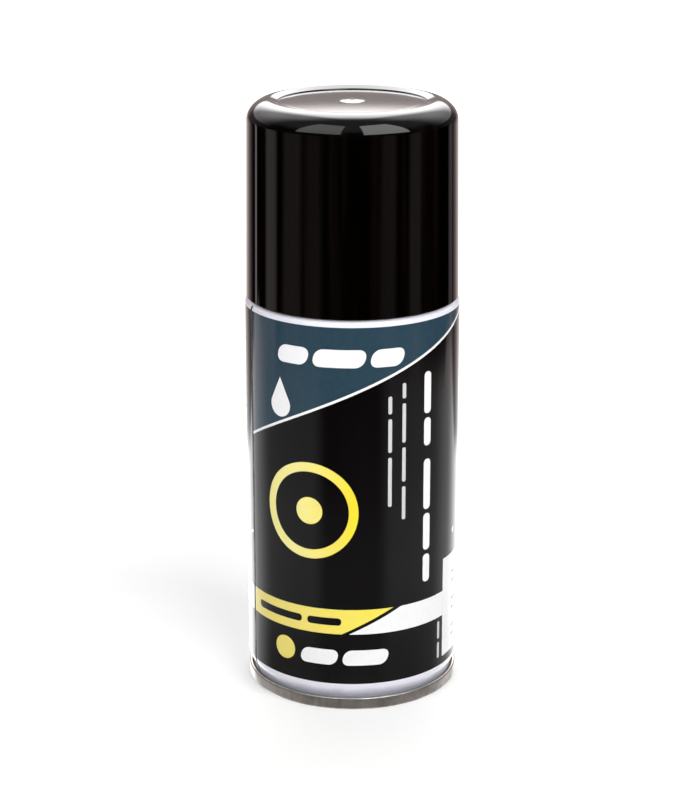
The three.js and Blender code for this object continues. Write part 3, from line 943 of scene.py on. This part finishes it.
def inside(point, loops):
    """Even-odd test, so that a loop within a loop is a hole."""
    x, y = point
    crossings = 0
    for loop in loops:
        for (x0, y0), (x1, y1) in zip(loop, loop[1:] + loop[:1]):
            if (y0 > y) != (y1 > y) and x < x0 + (x1 - x0) * (y - y0) / (y1 - y0):
                crossings += 1
    return crossings % 2 == 1


def printed(name, loops, material, layer=1):
    """A film of ink on the wall. loops are flat outlines in (distance round, height)."""
    vertices, edges = [], []
    for loop in loops:
        first = len(vertices)
        vertices += loop
        edges += [(first + i, first + (i + 1) % len(loop)) for i in range(len(loop))]
    low_s, high_s = min(v[0] for v in vertices), max(v[0] for v in vertices)
    low_z, high_z = min(v[1] for v in vertices), max(v[1] for v in vertices)
    step = STEP * BODY_RADIUS
    uprights = [n * step for n in range(-100, 200) if low_s < n * step < high_s]
    curved = [z / 4 for z in range(400) if not BOTTOM_NECK[1] < z / 4 < SHOULDER_Z]
    levels = [z for z in curved if low_z < z < high_z]
    lines = [((s, low_z - 0.5), (s, high_z + 0.5)) for s in uprights]
    lines += [((low_s - 0.5, z), (high_s + 0.5, z)) for z in levels]
    for line in lines:
        edges.append((len(vertices), len(vertices) + 1))
        vertices += line
    points, _, triangles, _, _, _ = delaunay_2d_cdt([Vector(v) for v in vertices], edges, [], 0, 1e-6)
    kept = [t for t in triangles if inside([sum(points[i][k] for i in t) / 3 for k in (0, 1)], loops)]
    numbers = {old: new for new, old in enumerate(sorted({i for t in kept for i in t}))}
    count = len(numbers)
    foot = (layer - 1) * LAYER + 0.002
    placed, normals = [], []
    for lift in (foot + FILM, foot):
        for old in numbers:
            s, z = points[old]
            r, out, up = wall_at(z)
            turn = s / BODY_RADIUS
            normals.append((math.sin(turn) * out, -math.cos(turn) * out, up))
            lifted = r + lift * out
            placed.append((math.sin(turn) * lifted, -math.cos(turn) * lifted, z + lift * up))
    faces = []
    uses = {}
    for t in kept:
        a, b, c = (numbers[i] for i in t)
        turned_right = (points[t[1]] - points[t[0]]).cross(points[t[2]] - points[t[0]]) > 0
        face = (a, b, c) if turned_right else (a, c, b)
        faces.append(face)
        for pair in zip(face, face[1:] + face[:1]):
            uses[pair] = uses.get(pair, 0) + 1
    outer_count = len(faces)
    faces += [(c + count, b + count, a + count) for a, b, c in faces[:outer_count]]
    faces += [(b, a, a + count, b + count) for a, b in uses if (b, a) not in uses]
    mesh = bpy.data.meshes.new(name)
    mesh.from_pydata([[c * MM for c in p] for p in placed], [], faces)
    mesh.materials.append(material)
    mesh.shade_smooth()
    mesh.set_sharp_from_angle(angle=SHARP_ANGLE)
    shown = []
    for polygon in mesh.polygons:
        for vertex in polygon.vertices:
            shown.append(normals[vertex] if polygon.index < outer_count else polygon.normal[:])
    mesh.normals_split_custom_set(shown)
    piece = bpy.data.objects.new(name, mesh)
    bpy.context.scene.collection.objects.link(piece)
    place(piece, "can", "can_print")


def bar(s, z, length, height, slant=0.0, upright=False, corner=0.45):
    """A rounded bar centred at (s, z). An upright bar has its length along the can."""
    half_l, half_h = length / 2, height / 2
    r = min(corner * height, half_l)
    outline = []
    for x, y, start in ((1, 1, 0), (-1, 1, 90), (-1, -1, 180), (1, -1, 270)):
        outline += arc(x * (half_l - r), y * (half_h - r), r, start, start + 90, 5)
    if upright:
        return [(s + y, z - x) for x, y in outline]
    return [(s + x + slant * y, z + y) for x, y in outline]


def bars(start, across, lengths, gap, height, **options):
    """A row of bars from start on, which stands where the label has a line of words."""
    made = []
    for length in lengths:
        middle = start + length / 2 * (-1 if options.get("upright") else 1)
        place_at = (across, middle) if options.get("upright") else (middle, across)
        made.append(bar(*place_at, length, height, **options))
        start += (length + gap) * (-1 if options.get("upright") else 1)
    return made


def disc(s, z, radius, steps=64):
    return arc(s, z, radius, 0, 360, steps)[:-1]


PANEL_LEFT = -66.7
PANEL_RIGHT = 84.0
BAND = (20.0, 26.4)
ART_TOP = SHOULDER_Z


def rectangle(start, end, low, high):
    """A patch of print between two azimuths and two heights."""
    return [(along(start), low), (along(end), low), (along(end), high), (along(start), high)]


def sweep_line(azimuth):
    """Height of the slanting lower edge of the coloured panel."""
    return 80.96 + 0.2035 * azimuth - 0.000215 * azimuth**2


def panel_and_line():
    steps = 30
    edge = [PANEL_LEFT + (PANEL_RIGHT - PANEL_LEFT) * i / steps for i in range(steps + 1)]
    low = [(along(a), sweep_line(a) + 0.3) for a in edge if sweep_line(a) + 0.3 < ART_TOP]
    panel = [(along(PANEL_LEFT), ART_TOP)] + low + [(low[-1][0], ART_TOP)]
    printed("print_panel", [panel], TEAL_INK)
    under = [(along(a), sweep_line(a) - 0.34) for a in edge if sweep_line(a) + 0.34 < ART_TOP]
    over = [(s, z + 0.68) for s, z in reversed(under)]
    printed("print_sweep_line", [under + over], WHITE_INK, 2)


def word_bars():
    title = bars(along(-42), 89.6, (8.4, 12.6, 8.2), 1.3, 4.4, slant=0.25)
    printed("print_title_bars", title, WHITE_INK, 2)
    maker = bars(along(-28.5), 13.8, (9.4, 11.2), 1.3, 4.0, slant=0.25)
    printed("print_maker_bars", maker, WHITE_INK)
    printed("print_band_bars", bars(along(-60), 23.2, (14.6, 8.6), 1.5, 1.9), BLACK_INK, 2)
    large = bars(84.6, along(43.3), (10.4, 7.0), 1.1, 2.2, upright=True)
    large += bars(62.7, along(43.3), (12.8, 9.4, 7.2), 1.1, 2.2, upright=True)
    printed("print_large_bars", large, WHITE_INK)
    small = bars(82.9, along(28), (3.8, 9.8, 8.6, 8.4), 1.2, 0.95, upright=True)
    small += bars(80.0, along(20), (4.4, 8.4, 12.4), 1.2, 0.95, upright=True)
    printed("print_small_bars", small, PALE_INK)
    code = bars(18.9, along(54.4), (4.6, 4.2), 1.0, 0.9, upright=True)
    printed("print_code_bar", code, PALE_INK)


def droplet(s, z, size):
    """A drop of liquid: round below, drawn to a point above."""
    lean = 26
    return arc(s, z, size, 180 - lean, 360 + lean, 24) + [(s, z + size / math.sin(math.radians(lean)))]


def emblems():
    printed("print_droplet", [droplet(along(-41), 76.6, 3.0)], WHITE_INK, 2)
    centre = (along(-23.4), 51.25)
    printed("print_lens_ring", [disc(*centre, 12.15, 96), disc(*centre, 9.85, 96)], YELLOW_RING_INK)
    printed("print_lens_disc", [disc(*centre, 3.4)], YELLOW_RING_INK)
    printed("print_maker_dot", [disc(along(-39), 14.4, 3.0)], YELLOW_BAND_INK)


def bands():
    low, high = BAND
    left = along(PANEL_LEFT)
    yellow = [(left, low), (along(-5.8), low), (along(22.3), high), (left, high)]
    printed("print_yellow_band", [yellow], YELLOW_BAND_INK)
    right = along(58.4)
    white = [(along(-1.9), low), (right, low), (right, high), (along(27), high)]
    printed("print_white_band", [white], WHITE_INK)
    printed("print_side_panel", [rectangle(58.5, 122, 8.9, 34.8)], WHITE_INK)
    printed("print_side_mark", [bar(along(71.5), 40.7, 1.0, 1.6)], WHITE_INK)


def back_of_label():
    random.seed(7)
    low, high = BAND
    weld_azimuth, panel_top = 292.3, 40.6
    weld = along(weld_azimuth)
    band = [(along(168), low), (weld, low), (weld, high), (along(182), high)]
    printed("print_back_band", [band], WHITE_INK)
    slope = 2.6 / 12.7
    start = weld_azimuth - (panel_top - high) / slope
    panel = [(along(start), high), (weld, high), (weld, panel_top)]
    printed("print_back_panel", [panel], BACK_TEAL_INK)
    foot = high + 0.05
    line = [(along(start), foot), (weld, panel_top), (weld, panel_top + 0.7), (along(start - 2), foot)]
    printed("print_back_line", [line], WHITE_INK, 2)
    rows = []
    for column in (104, 168, 232):
        for row in range(15):
            s, end = along(column), along(column + 50)
            z = 88 - row * 2.9
            while s < end - 3:
                length = min(random.uniform(2.0, 6.5), end - s)
                rows.append(bar(s + length / 2, z, length, 0.8))
                s += length + 0.8
    printed("print_back_rows", rows, GREY_INK)
    lines = []
    for row in range(9):
        lines.append(bar(along(92), 32 - row * 2.4, along(48) * (0.9 if row % 3 else 0.7), 0.6))
    printed("print_side_rows", lines, GREY_INK, 2)


def side_weld():
    """The welded edge: a strip of dark metal between the two ends of the print."""
    half = 0.42
    middle = along(-67.6)
    low, high = BOTTOM_NECK[0] + 0.05, FILM_TOP - 1.0
    left, right = middle - half, middle + half
    printed("side_weld", [[(left, low), (right, low), (right, high), (left, high)]], WELD, 3)


can_body()
bottom_end()
place(BOTTOM_SEAM.compound("bottom_sealant"), "can", "seam_compound", "bottom_seam_compound")
top_cone()
place(TOP_SEAM.compound("top_sealant"), "can", "seam_compound", "top_seam_compound")
mounting_cup()
valve()
spray_button()
overcap()
panel_and_line()
word_bars()
emblems()
bands()
back_of_label()
side_weld()


# ---------------------------------------------------------------- the studio


def aim(thing, target):
    way = Vector(target) - thing.location
    thing.rotation_euler = way.to_track_quat("-Z", "Y").to_euler()


def around(azimuth, elevation, distance, height):
    """A place round the object. Azimuth 0 is in front, 90 on the right, 180 behind."""
    a, e = math.radians(azimuth), math.radians(elevation)
    flat = distance * math.cos(e)
    return (flat * math.sin(a), -flat * math.cos(a), height + distance * math.sin(e))


def softbox(name, azimuth, elevation, distance, size, radiance, reflected=True, upright=False):
    data = bpy.data.lights.new(name, "AREA")
    data.shape = "RECTANGLE"
    data.size, data.size_y = size
    data.energy = radiance * math.pi * size[0] * size[1]
    lamp = bpy.data.objects.new(name, data)
    lamp.location = around(azimuth, elevation, distance, 0.12)
    lamp.visible_camera = False
    lamp.visible_glossy = reflected
    bpy.context.scene.collection.objects.link(lamp)
    aim(lamp, (0, 0, lamp.location.z if upright else 0.12))


def camera():
    data = bpy.data.cameras.new("camera")
    data.lens = 101.9
    data.sensor_width = 36
    made = bpy.data.objects.new("camera", data)
    made.location = (-0.00057, -0.5339, 0.2379)
    made.rotation_euler = (math.radians(90 - 17.31), 0, 0)
    bpy.context.scene.collection.objects.link(made)
    bpy.context.scene.camera = made


def floor():
    """A large pale sheet that curves nowhere. It is left out of mirror reflections, which see the world."""
    half = 3.0
    mesh = bpy.data.meshes.new("floor")
    corners = [(-half, -half, 0), (half, -half, 0), (half, half, 0), (-half, half, 0)]
    mesh.from_pydata(corners, [], [(0, 1, 2, 3)])
    s = Shader("floor_paper", roughness=0.9)
    grain = s.ramp(s.noise(s.place, 40, detail=2), 0.3, 0.7, 0, 1)
    s.feed("Base Color", s.mixed(grain, (0.9, 0.9, 0.9), (0.92, 0.92, 0.92)))
    from_axis = s.length(s.place)
    s.shader.inputs["Emission Color"].default_value = (1, 1, 1, 1)
    s.feed("Emission Strength", s.ramp(from_axis, 0.1, 0.9, 0.14, 1.0))
    mesh.materials.append(s.material)
    sheet = bpy.data.objects.new("floor", mesh)
    sheet.visible_glossy = False
    bpy.context.scene.collection.objects.link(sheet)


class Sky(Nodes):
    """The surroundings, described by direction, as mirror-like surfaces see them."""

    def __init__(self):
        made = bpy.data.worlds.new("studio")
        made.use_nodes = True
        bpy.context.scene.world = made
        self.tree = made.node_tree
        self.background = self.tree.nodes["Background"]
        way = self.tree.nodes.new("ShaderNodeTexCoord").outputs["Generated"]
        parts = self.node("ShaderNodeSeparateXYZ", {0: way})
        self.x, self.y, self.z = (parts.outputs[k] for k in ("X", "Y", "Z"))
        self.turn = self.maths("ARCTAN2", self.x, self.product(self.y, -1.0))
        self.away = self.maths("ABSOLUTE", self.turn, 0.0)

    def stepped(self, value, low, high, to_low, to_high):
        inputs = {"Value": value, "From Min": low, "From Max": high, "To Min": to_low, "To Max": to_high}
        return self.node("ShaderNodeMapRange", inputs, interpolation_type="SMOOTHSTEP").outputs["Result"]

    def sum(self, first, *others):
        for other in others:
            first = self.maths("ADD", first, other)
        return first

    def product(self, first, *others):
        for other in others:
            first = self.maths("MULTIPLY", first, other)
        return first

    def strip(self, azimuth, half_width, brightness):
        """An upright strip of light at an azimuth in degrees from the front."""
        away = self.maths("ABSOLUTE", self.sum(self.turn, -math.radians(azimuth)), 0.0)
        half = math.radians(half_width)
        return self.stepped(away, 0.5 * half, 1.3 * half, brightness, 0.0)

    def towards_back(self, start, end, brightness):
        """Brightness that sets in between two azimuths, on both sides alike."""
        return self.stepped(self.away, math.radians(start), math.radians(end), 0.0, brightness)


def world():
    """A dim room with a few upright strips of light, a white table that glows behind, a bright wall above."""
    sky = Sky()
    left_strips = ((-127.5, 2.2, 0.95), (-98, 9, 0.45), (-68, 12, 0.17), (-42, 10, 0.09))
    right_strips = ((39, 9, 0.12), (71, 8, 0.17), (132, 5, 0.26))
    strips = (sky.strip(*each) for each in left_strips + right_strips)
    room = sky.sum(sky.towards_back(133, 168, 1.1), *strips)

    foot = sky.stepped(sky.z, -0.405, -0.375, 0.05, 0.34)
    front = sky.sum(
        sky.product(sky.towards_back(26, 46, 1.0), foot),
        sky.stepped(sky.z, -0.36, -0.325, 0.14, 0.0),
    )
    table = sky.sum(
        front,
        sky.stepped(sky.z, -0.432, -0.414, 0.3, 0.0),
        sky.towards_back(98, 132, 0.8),
        sky.towards_back(125, 152, 1.9),
    )
    table = sky.product(table, sky.sum(sky.strip(145, 30, -0.3), 1.0))
    bend = sky.sum(
        sky.towards_back(117, 123, 0.016),
        sky.towards_back(129, 150, -0.046),
        sky.strip(-112, 15, 0.028),
    )
    edge = sky.sum(sky.z, sky.product(bend, -1.0))
    on_table = sky.stepped(edge, -0.294, -0.278, 1.0, 0.0)
    below = sky.node("ShaderNodeMix", {0: on_table, 2: room, 3: table}, data_type="FLOAT").outputs[0]

    wall = sky.sum(
        sky.stepped(sky.z, 0.185, 0.245, 0.42, 3.4),
        sky.stepped(sky.z, 0.25, 0.7, 0.0, 4.0),
    )
    wall_end = sky.stepped(sky.z, 0.86, 1.0, 1.0, 0.0)
    wall_width = sky.sum(sky.towards_back(146, 168, 0.9), sky.towards_back(95, 135, 0.25))
    ceiling = sky.stepped(sky.z, 0.3, 0.7, 0.02, 0.25)
    above = sky.sum(sky.product(wall, wall_end, wall_width), ceiling)

    is_above = sky.stepped(sky.z, -0.12, 0.0, 0.0, 1.0)
    seen = sky.node("ShaderNodeMix", {0: is_above, 2: below, 3: above}, data_type="FLOAT").outputs[0]
    path = sky.tree.nodes.new("ShaderNodeLightPath").outputs["Is Camera Ray"]
    strength = sky.node("ShaderNodeMix", {0: path, 2: seen, 3: 1.0}, data_type="FLOAT").outputs[0]
    warmth = sky.product(sky.stepped(sky.z, -0.31, -0.27, 0.0, 1.0), sky.stepped(sky.z, 0.15, 0.3, 1.0, 0.0))
    tint = sky.node("ShaderNodeMix", {"Factor": warmth}, data_type="RGBA")
    tint.inputs[6].default_value = (1, 0.99, 1, 1)
    tint.inputs[7].default_value = (1, 0.86, 0.82, 1)
    sky.tree.links.new(tint.outputs[2], sky.background.inputs["Color"])
    sky.tree.links.new(strength, sky.background.inputs["Strength"])
    bpy.context.scene.world.cycles_visibility.diffuse = False


camera()
floor()
world()
softbox("right_light", 38, 52, 1.7, (1.02, 2.2), 3.3, upright=True)
softbox("left_light", -38, 52, 1.7, (1.0, 2.1), 1.7, upright=True)
softbox("front_fill", 0, 35, 1.5, (1.8, 1.2), 0.3, reflected=False)
softbox("overhead_fill", 180, 80, 1.6, (2.4, 2.4), 0.8, reflected=False)
softbox("back_fill", 180, 30, 1.6, (2.4, 1.6), 1.2, reflected=False)
bpy.context.scene.view_settings.view_transform = "Standard"
